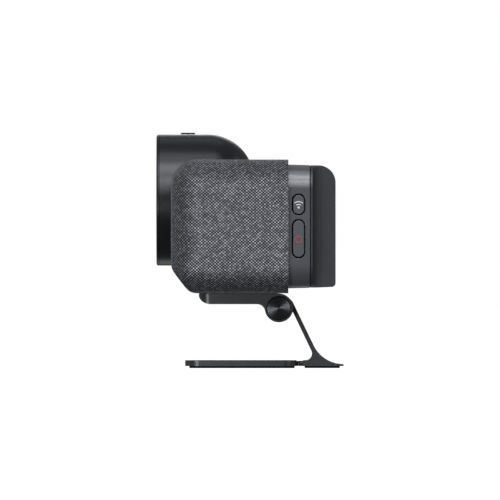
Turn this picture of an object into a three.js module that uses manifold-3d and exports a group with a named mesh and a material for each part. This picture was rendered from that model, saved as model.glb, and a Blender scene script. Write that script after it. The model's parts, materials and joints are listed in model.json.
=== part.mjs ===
// Desk conference speaker: a fabric-covered bar with a camera drum in its middle, on a folding stand.
// Millimetres. X runs along the bar, the camera looks along -Y and Z is up. The origin is on the desk,
// under the middle of the bounding box.

import * as THREE from 'three';
import { mergeVertices } from 'three/addons/utils/BufferGeometryUtils.js';
import { RoundedBoxGeometry } from 'three/addons/geometries/RoundedBoxGeometry.js';
import Module from 'manifold-3d';

// ---- Driving dimensions -------------------------------------------------------------------------

const GAP = 0.3;              // clearance between pieces that sit against each other
const FAR = 200;              // longer than anything that a cutter has to pass through

// The bar: its fabric sleeve, the frame under it, and the housing behind it
const BAR_WIDTH = 220;
const BAR_FRONT = -36.1;
const BAR_BOTTOM = 34.5;
const BAR_TOP = 95.6;
const BAR_CORNER = 12;
const SLEEVE_REAR = 17.5;
const SLEEVE_WALL = 1.5;
const FRAME_WALL = 2;
const CHAMFER_TOP = new THREE.Vector2(-35.3, 44.5);     // lower front edge of the bar, as (Y, Z)
const CHAMFER_END = new THREE.Vector2(-29.4, 36.8);

const HOUSING_INSET = 2.1;    // how far the sleeve stands proud of the housing
const HOUSING_REAR = 27.4;
const HOUSING_WALL = 2.2;
const PARTITION_WALL = 1.5;
const TONGUE_DEPTH = 4;
const COVER_REAR = 39.1;
const COVER_BOTTOM = 37.1;
const COVER_TOP = 93.0;
const COVER_TOP_RADIUS = 8;
const COVER_BOTTOM_RADIUS = 1.8;
const COVER_HALF_WIDTH = 99;  // of the raised back, inside the cove
const COVE_RADIUS = 4.5;
const COVER_FLANGE = 0.9;
const COVER_WALL = 2;
const COVER_SCREW_X = 86;
const COVER_SCREW_ROWS = [45, 85];

// Camera drum, turned about an axis along Y
const DRUM_AXIS_Z = 77.3;
const DRUM_RADIUS = 30.2;
const DRUM_FRONT = -43.1;
const DRUM_DOME_START = -19.3;
const DRUM_DOME_RADIUS = 21.2;
const DRUM_WALL = 2;
const DRUM_SIDES = 36;
const BEZEL_DEPTH = 1;
const WINDOW_RADIUS = 26;
const LENS_APERTURE = 4.6;
const SHUTTER_Y = -31.4;
const SHUTTER_TRAVEL = 10;
const STEM_Y = -28.6;
const STEM_HALF_WIDTH = 1.2;
const STEM_HALF_DEPTH = 0.5;
const KNOB_FRONT = -31.8;
const KNOB_REAR = -25.3;
const KNOB_BOTTOM = 107.7;
const KNOB_TOP = 108.35;

// Loudspeakers
const DRIVER_X = 68;
const DRIVER_Z = 66.3;
const DRIVER_FLANGE_RADIUS = 19;
const DRIVER_OPENING = 16.4;
const CONE_RADIUS = 13;
const MAGNET_RADIUS = 12;
const DRIVER_SIDES = 20;

// Buttons on the right end, centred on a line along Z
const BUTTON_Y = 22.2;
const BUTTON_WIDTH = 5;
const BUTTON_GROOVE = 0.65;
const BUTTONS = [
  { name: 'wireless', z: 75, length: 8.7 },
  { name: 'power', z: 59.4, length: 16.7 },
];

// Stand
const HINGE_Y = 13.3;
const HINGE_Z = 27.6;
const BARREL_RADIUS = 6.5;
const KNUCKLE_RADIUS = 6.6;
const PIN_RADIUS = 3;
const CAP_RADIUS = 5.5;
const ARM_FRONT = -23.5;
const ARM_BOTTOM = 29.4;
const ARM_HALF_WIDTH = 38;
const EAR_INNER_X = 30.5;
const LEG_HALF_WIDTH = 29.4;
const LEG_SLOPE = THREE.MathUtils.degToRad(64.5);
const LEG_OUTER = 6.95;       // distance of the leg's rear face from the hinge axis
const LEG_INNER = 5.0;        // distance of its front face
const PLATE_BOTTOM = 0.92;
const PLATE_TOP = 3.4;
const FOOT_FRONT = -29.9;
const FOOT_HALF_WIDTH = 36;
const FOOT_CORNER = 6;
const HEEL_REAR = 43.1;
const FOLD_Y = 22.95;
const FOLD_Z = 2.02;
const FOLD_RADIUS = 1.1;
const FOLD_PIN_RADIUS = 0.5;
const FOLD_CLEARANCE = 1.5;   // plate ends stay this far from the fold axis
const FOLD_MIDDLE = 12;       // half width of the foot's middle knuckle
const FOLD_HALF_WIDTH = 24;
const PAD_POCKET = 0.4;

// ---- Materials ----------------------------------------------------------------------------------

function material(color, roughness, metalness = 0) {
  return new THREE.MeshStandardMaterial({ color, roughness, metalness });
}

const fabric = material(0x5c5d60, 0.95);
const housingPlastic = material(0x46484b, 0.45);
const drumPlastic = material(0x33363a, 0.4);
const blackPlastic = material(0x17181a, 0.6);
const innerPlastic = material(0x2a2b2d, 0.7);
const glass = material(0x08090b, 0.05);
const standMetal = material(0x2b2d30, 0.4, 0.6);
const rubber = material(0x141415, 0.9);
const steel = material(0x8a8c90, 0.35, 1);
const aluminium = material(0xb4b6b9, 0.4, 1);
const circuitBoard = material(0x1c4a32, 0.6);
const paper = material(0x202022, 0.85);
const diffuser = material(0xdfe4e8, 0.5);

// ---- Solids -------------------------------------------------------------------------------------

const wasm = await Module();
wasm.setup();

function toSolid(geometry) {
  const bare = geometry.clone();
  bare.deleteAttribute('normal');
  bare.deleteAttribute('uv');
  const merged = mergeVertices(bare);
  const mesh = new wasm.Mesh({
    numProp: 3,
    vertProperties: merged.attributes.position.array,
    triVerts: new Uint32Array(merged.index.array),
  });
  return new wasm.Manifold(mesh);
}

function toGeometry(solid) {
  const mesh = solid.getMesh();
  const geometry = new THREE.BufferGeometry();
  geometry.setAttribute('position', new THREE.BufferAttribute(mesh.vertProperties, 3));
  geometry.setIndex(new THREE.BufferAttribute(mesh.triVerts, 1));
  geometry.computeVertexNormals();
  return geometry;
}

function cut(solid, ...cutters) {
  return cutters.reduce((rest, cutter) => rest.subtract(cutter), solid);
}

function join(...solids) {
  return solids.reduce((whole, solid) => whole.add(solid));
}

function box(x0, x1, y0, y1, z0, z1) {
  const geometry = new THREE.BoxGeometry(x1 - x0, y1 - y0, z1 - z0);
  geometry.translate((x0 + x1) / 2, (y0 + y1) / 2, (z0 + z1) / 2);
  return toSolid(geometry);
}

function extruded(shape, depth, curveSegments) {
  return new THREE.ExtrudeGeometry(shape, { depth, bevelEnabled: false, curveSegments });
}

// A shape drawn as (Y, Z), drawn out along X
function alongX(shape, x0, x1, curveSegments = 4) {
  const geometry = extruded(shape, x1 - x0, curveSegments);
  const turn = new THREE.Matrix4().makeBasis(
    new THREE.Vector3(0, 1, 0),
    new THREE.Vector3(0, 0, 1),
    new THREE.Vector3(1, 0, 0),
  );
  geometry.applyMatrix4(turn);
  geometry.translate(x0, 0, 0);
  return toSolid(geometry);
}

// A shape drawn as (X, Z), drawn out along Y
function alongY(shape, y0, y1, curveSegments = 4) {
  const geometry = extruded(shape, y1 - y0, curveSegments);
  geometry.rotateX(Math.PI / 2);
  geometry.translate(0, y1, 0);
  return toSolid(geometry);
}

// A shape drawn as (X, Y), drawn out along Z
function alongZ(shape, z0, z1, curveSegments = 4) {
  const geometry = extruded(shape, z1 - z0, curveSegments);
  geometry.translate(0, 0, z0);
  return toSolid(geometry);
}

function rounded(x0, y0, x1, y1, radius) {
  const shape = new THREE.Shape();
  shape.absarc(x1 - radius, y0 + radius, radius, -Math.PI / 2, 0);
  shape.absarc(x1 - radius, y1 - radius, radius, 0, Math.PI / 2);
  shape.absarc(x0 + radius, y1 - radius, radius, Math.PI / 2, Math.PI);
  shape.absarc(x0 + radius, y0 + radius, radius, Math.PI, Math.PI * 1.5);
  return shape;
}

// A rounded rectangle about (x, y)
function slotShape(x, y, halfWidth, halfHeight, radius) {
  return rounded(x - halfWidth, y - halfHeight, x + halfWidth, y + halfHeight, radius);
}

function disc(x, y, radius) {
  const shape = new THREE.Shape();
  shape.absarc(x, y, radius, 0, Math.PI * 2);
  return shape;
}

// A profile of [radius, Y] pairs, listed up its outside and down its inside, turned about a line along Y
function turned(profile, x, z, segments = 32) {
  const points = profile.map(([radius, y]) => new THREE.Vector2(radius, y));
  const geometry = new THREE.LatheGeometry(points, segments);
  geometry.translate(x, 0, z);
  return toSolid(geometry);
}

function rodAlongX(radius, x0, x1, y, z, sides = 24) {
  return alongX(disc(y, z, radius), x0, x1, sides / 2);
}

function rodAlongY(radius, y0, y1, x, z, sides = 24) {
  return alongY(disc(x, z, radius), y0, y1, sides / 2);
}

function rodAlongZ(radius, z0, z1, x, y, sides = 24) {
  return alongZ(disc(x, y, radius), z0, z1, sides / 2);
}

const model = new THREE.Group();

function place(name, solid, look) {
  const mesh = new THREE.Mesh(toGeometry(solid), look);
  mesh.name = name;
  model.add(mesh);
}

// ---- Bar ----------------------------------------------------------------------------------------

// The bar's outer form, drawn in on every side by inset, and ended square at rear
function barForm(inset, rear) {
  const radius = BAR_CORNER - inset;
  const front = BAR_FRONT + inset;
  const width = BAR_WIDTH - 2 * inset;
  const depth = rear - front + 2 * radius;
  const height = BAR_TOP - BAR_BOTTOM - 2 * inset;
  const geometry = new RoundedBoxGeometry(width, depth, height, 3, radius);
  geometry.translate(0, front + depth / 2, (BAR_TOP + BAR_BOTTOM) / 2);

  const along = CHAMFER_END.clone().sub(CHAMFER_TOP).normalize();
  const outward = new THREE.Vector2(along.y, -along.x);
  const start = CHAMFER_TOP.clone().addScaledVector(outward, -inset).addScaledVector(along, -FAR);
  const end = start.clone().addScaledVector(along, 2 * FAR);
  const wedge = new THREE.Shape([
    start,
    end,
    end.clone().addScaledVector(outward, FAR),
    start.clone().addScaledVector(outward, FAR),
  ]);
  const behind = box(-FAR, FAR, rear, FAR, -FAR, FAR);
  return cut(toSolid(geometry), alongX(wedge, -FAR, FAR), behind);
}

// The drum's outside, grown by a margin; it runs out of the front of the bar
function drumForm(margin, front) {
  const profile = [[0, front], [DRUM_RADIUS + margin, front]];
  const steps = 6;
  const core = DRUM_RADIUS - DRUM_DOME_RADIUS;
  for (let step = 0; step <= steps; step += 1) {
    const angle = (step / steps) * Math.PI / 2;
    const reach = DRUM_DOME_RADIUS + margin;
    profile.push([core + reach * Math.cos(angle), DRUM_DOME_START + reach * Math.sin(angle)]);
  }
  profile.push([0, DRUM_DOME_START + DRUM_DOME_RADIUS + margin]);
  return turned(profile, 0, DRUM_AXIS_Z, DRUM_SIDES);
}

const INSERT_Y = -6;
const INSERT_FLANGE = 6;
const insertHole = rodAlongZ(INSERT_FLANGE + GAP, 30, 42, 0, INSERT_Y);
const drumHole = drumForm(GAP, -60);
const frameInset = SLEEVE_WALL + GAP;
const frameInside = frameInset + FRAME_WALL;

function addSleeve() {
  const shell = cut(barForm(0, SLEEVE_REAR), barForm(SLEEVE_WALL, SLEEVE_REAR + 5));
  place('fabric_sleeve', cut(shell, drumHole, insertHole), fabric);
}

function addFrame() {
  const rear = SLEEVE_REAR - GAP;
  const shell = cut(barForm(frameInset, rear), barForm(frameInside, rear + 5));
  const openings = [-DRIVER_X, DRIVER_X].map((x) => rodAlongY(DRIVER_OPENING, -40, -25, x, DRIVER_Z));
  place('speaker_frame', cut(shell, drumHole, insertHole, ...openings), innerPlastic);
}

function barSection(inset) {
  const half = BAR_WIDTH / 2 - inset;
  return rounded(-half, BAR_BOTTOM + inset, half, BAR_TOP - inset, BAR_CORNER - inset / 3);
}

// Boss positions for the four screws that hold the rear cover
function eachCoverScrew(action) {
  return COVER_SCREW_ROWS.flatMap((z) => [-COVER_SCREW_X, COVER_SCREW_X].map((x) => action(x, z)));
}

function addRearHousing() {
  const front = SLEEVE_REAR;
  const floor = front + PARTITION_WALL;
  const outside = alongY(barSection(HOUSING_INSET), front, HOUSING_REAR);
  const inside = alongY(barSection(HOUSING_INSET + HOUSING_WALL), floor, HOUSING_REAR + 5);
  const tongueInset = frameInside + GAP;
  const tongue = cut(
    alongY(barSection(tongueInset), front - TONGUE_DEPTH, front + PARTITION_WALL / 2),
    alongY(barSection(tongueInset + PARTITION_WALL), front - TONGUE_DEPTH - 5, front),
  );
  const bosses = eachCoverScrew((x, z) => rodAlongY(4, front + 1, HOUSING_REAR - 1, x, z, 16));
  const bossHoles = eachCoverScrew((x, z) => rodAlongY(1.7, front + 3, HOUSING_REAR, x, z, 12));
  const cableHole = box(-12, 12, front - 1, floor + 1, 48, 56);
  const slots = BUTTONS.map(({ z, length }) => {
    const half = BUTTON_WIDTH / 2 + BUTTON_GROOVE;
    return alongX(slotShape(BUTTON_Y, z, half, length / 2 + BUTTON_GROOVE, half), 95, FAR, 3);
  });
  const shell = join(cut(outside, inside), tongue, ...bosses);
  place('rear_housing', cut(shell, cableHole, ...bossHoles, ...slots), housingPlastic);
}

// The raised back of the bar: a side section drawn along X, met by a plan section drawn along Z
function coverForm(inset, front) {
  const rear = COVER_REAR - inset;
  const top = COVER_TOP - inset;
  const bottom = COVER_BOTTOM + inset;
  const topRadius = COVER_TOP_RADIUS - inset;
  const bottomRadius = Math.max(COVER_BOTTOM_RADIUS - inset, 0.2);
  const side = new THREE.Shape();
  side.moveTo(front, bottom);
  side.lineTo(rear - bottomRadius, bottom);
  side.absarc(rear - bottomRadius, bottom + bottomRadius, bottomRadius, -Math.PI / 2, 0);
  side.absarc(rear - topRadius, top - topRadius, topRadius, 0, Math.PI / 2);
  side.lineTo(front, top);

  const half = COVER_HALF_WIDTH - inset;
  const flange = BAR_WIDTH / 2 - HOUSING_INSET - inset;
  const coveY = HOUSING_REAR + GAP + COVER_FLANGE - inset + COVE_RADIUS;
  const plan = new THREE.Shape();
  plan.moveTo(-flange, front);
  plan.lineTo(flange, front);
  plan.lineTo(flange, coveY - COVE_RADIUS);
  plan.absarc(half + COVE_RADIUS, coveY, COVE_RADIUS, -Math.PI / 2, -Math.PI, true);
  plan.lineTo(half, rear);
  plan.lineTo(-half, rear);
  plan.absarc(-half - COVE_RADIUS, coveY, COVE_RADIUS, 0, -Math.PI / 2, true);
  plan.lineTo(-flange, coveY - COVE_RADIUS);
  return alongX(side, -FAR, FAR, 5).intersect(alongZ(plan, 0, FAR, 4));
}

const PORT_Z = 48;
const PORTS = [
  { name: 'usb_port', x: -16 },
  { name: 'power_port', x: 0 },
];
const PORT_WIDTH = 8.9;
const PORT_HEIGHT = 3.2;
const JACK_X = 15;

function portShape(x, margin) {
  const halfHeight = PORT_HEIGHT / 2 + margin;
  return slotShape(x, PORT_Z, PORT_WIDTH / 2 + margin, halfHeight, halfHeight - 0.1);
}

function addRearCover() {
  const front = HOUSING_REAR + GAP;
  const outline = alongY(barSection(HOUSING_INSET), front, FAR);
  const inside = coverForm(COVER_WALL, front - 5);
  const rear = COVER_REAR;
  const bosses = eachCoverScrew((x, z) => rodAlongY(4.5, front + 1, rear - 1, x, z, 16));
  const counterbores = eachCoverScrew((x, z) => rodAlongY(2.9, rear - 2.2, rear + 1, x, z, 16));
  const screwHoles = eachCoverScrew((x, z) => rodAlongY(1.7, front - 1, rear, x, z, 12));
  const portHoles = PORTS.map(({ x }) => alongY(portShape(x, GAP), rear - 5, rear + 5, 2));
  const jackHole = rodAlongY(3 + GAP, rear - 5, rear + 5, JACK_X, PORT_Z);
  const shell = join(cut(coverForm(0, front), inside), ...bosses).intersect(outline);
  const drilled = cut(shell, jackHole, ...counterbores, ...screwHoles, ...portHoles);
  place('rear_cover', drilled, housingPlastic);
}

function addCoverScrews() {
  let count = 0;
  eachCoverScrew((x, z) => {
    count += 1;
    const head = rodAlongY(2.6, COVER_REAR - 1.9, COVER_REAR - 0.4, x, z, 16);
    const shank = rodAlongY(1.4, SLEEVE_REAR + 4, COVER_REAR - 1, x, z, 12);
    const socket = rodAlongY(1.3, COVER_REAR - 1.2, COVER_REAR, x, z, 6);
    place(`cover_screw_${count}`, cut(join(head, shank), socket), steel);
  });
}

// ---- Electronics --------------------------------------------------------------------------------

function addBoards() {
  const notch = box(-14, 14, 19, 24, 40, 58);
  place('main_board', cut(box(-74, 74, 20.5, 22.1, 42, 89), notch), circuitBoard);
  const fins = [];
  for (let x = -36; x <= 36; x += 12) {
    fins.push(box(x - 0.9, x + 0.9, 24, 31, 64, 88));
  }
  place('heat_sink', join(box(-42, 42, 22.8, 24.8, 62, 89), ...fins), aluminium);
  place('port_board', box(-26, 26, 24, 37, 43.4, 44.8), circuitBoard);
  place('antenna', box(40, 72, 27.5, 28.1, 78, 88), circuitBoard);
}

function addPorts() {
  for (const { name, x } of PORTS) {
    const outer = alongY(portShape(x, 0), 30, COVER_REAR - 0.2, 2);
    const mouth = alongY(portShape(x, -0.35), 32, COVER_REAR + 1, 2);
    const tongue = box(x - 3.3, x + 3.3, 31, 38, PORT_Z - 0.35, PORT_Z + 0.35);
    const shell = cut(outer, mouth);
    place(name, join(shell, tongue), steel);
  }
  const barrel = rodAlongY(3, 28, COVER_REAR - 0.2, JACK_X, PORT_Z);
  const bore = rodAlongY(1.75, 30, COVER_REAR + 1, JACK_X, PORT_Z, 16);
  place('audio_jack', cut(barrel, bore), blackPlastic);
}

// ---- Loudspeakers and microphones ---------------------------------------------------------------

const FLANGE_FRONT = BAR_FRONT + frameInside + GAP;

function addLoudspeaker(side, x) {
  const flangeRear = FLANGE_FRONT + 1.6;
  const waist = FLANGE_FRONT + 14;
  const basket = turned([
    [9, waist], [MAGNET_RADIUS, waist], [DRIVER_OPENING + 0.6, flangeRear],
    [DRIVER_FLANGE_RADIUS, flangeRear], [DRIVER_FLANGE_RADIUS, FLANGE_FRONT],
    [DRIVER_OPENING, FLANGE_FRONT], [DRIVER_OPENING - 0.6, flangeRear],
    [MAGNET_RADIUS - 1, waist - 1.2], [9, waist - 1.2], [9, waist],
  ].reverse(), x, DRIVER_Z, DRIVER_SIDES);
  const ventY = [flangeRear + 2, waist - 3];
  const vents = join(
    box(x - 30, x + 30, ...ventY, DRIVER_Z - 4, DRIVER_Z + 4),
    box(x - 4, x + 4, ...ventY, DRIVER_Z - 30, DRIVER_Z + 30),
  );
  place(`${side}_driver_basket`, cut(basket, vents), blackPlastic);

  const magnetFront = waist + GAP;
  const magnet = turned([
    [0, magnetFront + 4], [7.5, magnetFront + 4], [7.5, magnetFront], [MAGNET_RADIUS, magnetFront],
    [MAGNET_RADIUS, magnetFront + 9], [0, magnetFront + 9],
  ], x, DRIVER_Z, DRIVER_SIDES);
  place(`${side}_driver_magnet`, magnet, steel);

  const coneFront = FLANGE_FRONT + 0.6;
  const cone = turned([
    [0, coneFront + 4.5], [4, coneFront + 5.2], [7, coneFront + 8], [CONE_RADIUS, coneFront],
    [CONE_RADIUS, coneFront + 0.9], [7, coneFront + 9.2], [7, coneFront + 13], [6.2, coneFront + 13],
    [6.2, coneFront + 9], [3.6, coneFront + 6.2], [0, coneFront + 5.5],
  ], x, DRIVER_Z, DRIVER_SIDES);
  place(`${side}_driver_cone`, cone, paper);

  const rollFront = FLANGE_FRONT - 1;
  const surround = turned([
    [CONE_RADIUS + GAP, rollFront + 1.2], [CONE_RADIUS + 1, rollFront + 0.3],
    [CONE_RADIUS + 1.7, rollFront], [CONE_RADIUS + 2.4, rollFront + 0.3],
    [DRIVER_OPENING - 2 * GAP, rollFront + 1.2], [DRIVER_OPENING - 1, rollFront + 2],
    [CONE_RADIUS + GAP, rollFront + 2], [CONE_RADIUS + GAP, rollFront + 1.2],
  ], x, DRIVER_Z, DRIVER_SIDES);
  place(`${side}_driver_surround`, surround, rubber);

  const inner = Math.sign(x) * 33;
  const outer = Math.sign(x) * 47;
  const boardX = [Math.min(inner, outer), Math.max(inner, outer)];
  const board = box(...boardX, FLANGE_FRONT, FLANGE_FRONT + 1.6, 78, 84);
  place(`${side}_microphone_board`, board, circuitBoard);
}

// ---- Camera -------------------------------------------------------------------------------------

function addDrumShell() {
  const front = DRUM_FRONT + BEZEL_DEPTH + GAP;
  const outside = drumForm(0, front);
  const inside = drumForm(-DRUM_WALL, front - 5);
  const slotReach = SHUTTER_TRAVEL / 2 + STEM_HALF_WIDTH + GAP;
  const slotDepth = STEM_HALF_DEPTH + 0.2;
  const stemSlot = box(-slotReach, slotReach, STEM_Y - slotDepth, STEM_Y + slotDepth, 95, 115);
  const cableHole = rodAlongY(4, -5, 10, 0, DRUM_AXIS_Z, 16);
  place('camera_drum', cut(outside, inside, stemSlot, cableHole), drumPlastic);
}

function addBezelAndWindow() {
  const rear = DRUM_FRONT + BEZEL_DEPTH;
  const edge = 0.6;
  const bezel = turned([
    [WINDOW_RADIUS + GAP, DRUM_FRONT], [DRUM_RADIUS - edge, DRUM_FRONT],
    [DRUM_RADIUS - 0.15, DRUM_FRONT + 0.3], [DRUM_RADIUS, DRUM_FRONT + edge], [DRUM_RADIUS, rear],
    [DRUM_RADIUS - DRUM_WALL - GAP, rear], [DRUM_RADIUS - DRUM_WALL - GAP, rear + 2.5],
    [WINDOW_RADIUS + GAP, rear + 2.5], [WINDOW_RADIUS + GAP, DRUM_FRONT],
  ], 0, DRUM_AXIS_Z, DRUM_SIDES);
  place('camera_bezel', bezel, drumPlastic);
  const pane = rodAlongY(WINDOW_RADIUS, DRUM_FRONT + 0.2, DRUM_FRONT + 1.6, 0, DRUM_AXIS_Z, DRUM_SIDES);
  place('camera_window', pane, glass);
}

function addLens() {
  const shroudFront = DRUM_FRONT + 2;
  const shroudRear = SHUTTER_Y - 0.4 - GAP;
  const shroud = turned([
    [LENS_APERTURE, shroudRear - 1.2], [24, shroudFront], [25, shroudFront], [25, shroudFront + 1.5],
    [9, shroudRear], [LENS_APERTURE, shroudRear], [LENS_APERTURE, shroudRear - 1.2],
  ], 0, DRUM_AXIS_Z, 28);
  const lightZ = DRUM_AXIS_Z - 22;
  const lightHole = rodAlongY(1.2 + GAP, DRUM_FRONT, SHUTTER_Y, 0, lightZ, 12);
  place('lens_shroud', cut(shroud, lightHole), blackPlastic);
  place('status_light', rodAlongY(1.2, shroudFront, shroudFront + 4, 0, lightZ, 12), diffuser);

  const barrelFront = SHUTTER_Y + 0.4 + GAP;
  const barrel = turned([
    [5.2, barrelFront], [7, barrelFront], [7, barrelFront + 5], [9, barrelFront + 5],
    [9, barrelFront + 14], [4, barrelFront + 14], [4, barrelFront + 7],
    [5.2, barrelFront + 7], [5.2, barrelFront],
  ], 0, DRUM_AXIS_Z, 24);
  place('lens_barrel', barrel, blackPlastic);

  const lens = turned([
    [0, barrelFront + 0.4], [2, barrelFront + 0.8], [3.6, barrelFront + 1.9], [4.8, barrelFront + 3.4],
    [4.8, barrelFront + 6.5], [0, barrelFront + 6.5],
  ], 0, DRUM_AXIS_Z, 24);
  place('lens', lens, glass);

  const boardFront = barrelFront + 14 + GAP;
  const low = DRUM_AXIS_Z - 13;
  const high = DRUM_AXIS_Z + 13;
  place('image_sensor_board', box(-13, 13, boardFront, boardFront + 1.6, low, high), circuitBoard);
  const bracketFront = boardFront + 1.6 + GAP;
  const cableGap = box(-5, 5, -30, 10, DRUM_AXIS_Z - 6, DRUM_AXIS_Z + 6);
  const bracket = box(-16, 16, bracketFront, bracketFront + 2, DRUM_AXIS_Z - 16, DRUM_AXIS_Z + 16);
  place('camera_bracket', cut(bracket, cableGap), aluminium);
}

// The knob rides above the crown of the drum. Its stem goes down through the slot to a carrier, which
// holds the blade to one side: the lens is clear with the knob at the left, and covered at the right.
function addShutter() {
  const x = -SHUTTER_TRAVEL / 2;
  const bladeX = x - SHUTTER_TRAVEL / 2;
  const bladeHalf = LENS_APERTURE + 0.6;
  const carrierTop = DRUM_AXIS_Z + 21.4;
  const carrierBottom = carrierTop - 2;
  const knob = box(x - 4, x + 4, KNOB_FRONT, KNOB_REAR, KNOB_BOTTOM, KNOB_TOP);
  const stem = box(
    x - STEM_HALF_WIDTH, x + STEM_HALF_WIDTH,
    STEM_Y - STEM_HALF_DEPTH, STEM_Y + STEM_HALF_DEPTH,
    carrierBottom, KNOB_TOP - 0.2,
  );
  const carrier = box(bladeX - 5, x + 3, SHUTTER_Y + 0.6, -26.5, carrierBottom, carrierTop);
  place('shutter_slider', join(knob, stem, carrier), blackPlastic);
  const bladeX0 = bladeX - bladeHalf;
  const bladeX1 = bladeX + bladeHalf;
  const bladeLow = DRUM_AXIS_Z - bladeHalf;
  const blade = box(bladeX0, bladeX1, SHUTTER_Y - 0.3, SHUTTER_Y + 0.3, bladeLow, carrierTop);
  place('shutter_blade', blade, blackPlastic);
}

// ---- Buttons ------------------------------------------------------------------------------------

function addButtons() {
  const face = BAR_WIDTH / 2 - HOUSING_INSET;
  for (const { name, z, length } of BUTTONS) {
    const half = BUTTON_WIDTH / 2;
    const pill = slotShape(BUTTON_Y, z, half, length / 2, half);
    place(`${name}_button`, alongX(pill, face - 3, face, 3), housingPlastic);
    const body = box(face - 6.4, face - 4, BUTTON_Y - 2.2, BUTTON_Y + 2.2, z - 2.2, z + 2.2);
    place(`${name}_switch`, body, blackPlastic);
  }
  const board = box(face - 8, face - 6.7, SLEEVE_REAR + 2, HOUSING_REAR - 0.5, 52, 79);
  place('button_board', board, circuitBoard);
}

// ---- Tilt arm and hinge -------------------------------------------------------------------------

function addArm() {
  const top = BAR_BOTTOM - GAP;
  const noseDepth = 5.5;
  const noseHeight = 4.2;
  const fillet = 4;
  const filletZ = ARM_BOTTOM - fillet;
  const filletReach = BARREL_RADIUS + fillet;
  const filletY = HINGE_Y - Math.sqrt(filletReach ** 2 - (HINGE_Z - filletZ) ** 2);
  const towardFillet = Math.atan2(filletZ - HINGE_Z, filletY - HINGE_Y);
  const side = new THREE.Shape();
  side.moveTo(ARM_FRONT, top);
  side.lineTo(ARM_FRONT, ARM_BOTTOM + noseHeight);
  const nose = [ARM_FRONT + noseDepth, ARM_BOTTOM + noseHeight, noseDepth, noseHeight];
  side.absellipse(...nose, Math.PI, Math.PI * 1.5);
  side.absarc(filletY, filletZ, fillet, Math.PI / 2, towardFillet + Math.PI, true);
  side.absarc(HINGE_Y, HINGE_Z, BARREL_RADIUS, towardFillet, Math.PI / 2);
  side.lineTo(HINGE_Y, top);

  const plan = rounded(-ARM_HALF_WIDTH, ARM_FRONT, ARM_HALF_WIDTH, FAR, 5);
  const roomRadius = KNUCKLE_RADIUS + GAP;
  const knuckleRoom = rodAlongX(roomRadius, -EAR_INNER_X, EAR_INNER_X, HINGE_Y, HINGE_Z, 32);
  const legRoom = box(-EAR_INNER_X, EAR_INNER_X, HINGE_Y - 2, HINGE_Y + 20, HINGE_Z - 20, FAR);
  const pinBore = rodAlongX(PIN_RADIUS + GAP, -FAR, FAR, HINGE_Y, HINGE_Z);
  const recessEnd = ARM_HALF_WIDTH + 1;
  const recessFloor = ARM_HALF_WIDTH - 1.4;
  const capRecesses = [[-recessEnd, -recessFloor], [recessFloor, recessEnd]]
    .map(([x0, x1]) => rodAlongX(CAP_RADIUS + GAP, x0, x1, HINGE_Y, HINGE_Z, 32));
  const screwHead = rodAlongZ(5.8, ARM_BOTTOM - 1, ARM_BOTTOM + 2.6, 0, INSERT_Y);
  const screwHole = rodAlongZ(3.5, ARM_BOTTOM, FAR, 0, INSERT_Y);
  const blank = alongX(side, -ARM_HALF_WIDTH, ARM_HALF_WIDTH, 6);
  const plate = blank.intersect(alongZ(plan, 0, FAR, 3));
  const arm = cut(plate, knuckleRoom, legRoom, pinBore, ...capRecesses, screwHead, screwHole);
  place('mount_arm', arm, standMetal);
}

function addArmScrew() {
  const head = rodAlongZ(5.4, ARM_BOTTOM + 0.3, ARM_BOTTOM + 2.3, 0, INSERT_Y);
  const shank = rodAlongZ(3.1, ARM_BOTTOM + 1, 42, 0, INSERT_Y);
  const socket = rodAlongZ(2, ARM_BOTTOM - 1, ARM_BOTTOM + 1.5, 0, INSERT_Y, 6);
  place('arm_screw', cut(join(head, shank), socket), steel);
  const flange = rodAlongZ(INSERT_FLANGE, BAR_BOTTOM + 0.2, 44, 0, INSERT_Y);
  place('threaded_insert', cut(flange, rodAlongZ(3.1 + GAP, 30, 42.5, 0, INSERT_Y)), steel);
}

function addHinge() {
  place('hinge_pin', rodAlongX(PIN_RADIUS, -36, 36, HINGE_Y, HINGE_Z), steel);
  for (const [side, sign] of [['left', -1], ['right', 1]]) {
    const capSpan = [ARM_HALF_WIDTH - 1.1, ARM_HALF_WIDTH - 0.2];
    const washerSpan = [LEG_HALF_WIDTH + GAP, LEG_HALF_WIDTH + 0.8];
    const [cap, washer] = [capSpan, washerSpan]
      .map(([inner, outer]) => (sign > 0 ? [inner, outer] : [-outer, -inner]));
    place(`${side}_hinge_cap`, rodAlongX(CAP_RADIUS, ...cap, HINGE_Y, HINGE_Z, 32), steel);
    const ring = cut(
      rodAlongX(5.8, ...washer, HINGE_Y, HINGE_Z),
      rodAlongX(PIN_RADIUS + GAP, -FAR, FAR, HINGE_Y, HINGE_Z),
    );
    place(`${side}_friction_washer`, ring, steel);
  }
}

// ---- Stand --------------------------------------------------------------------------------------

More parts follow.
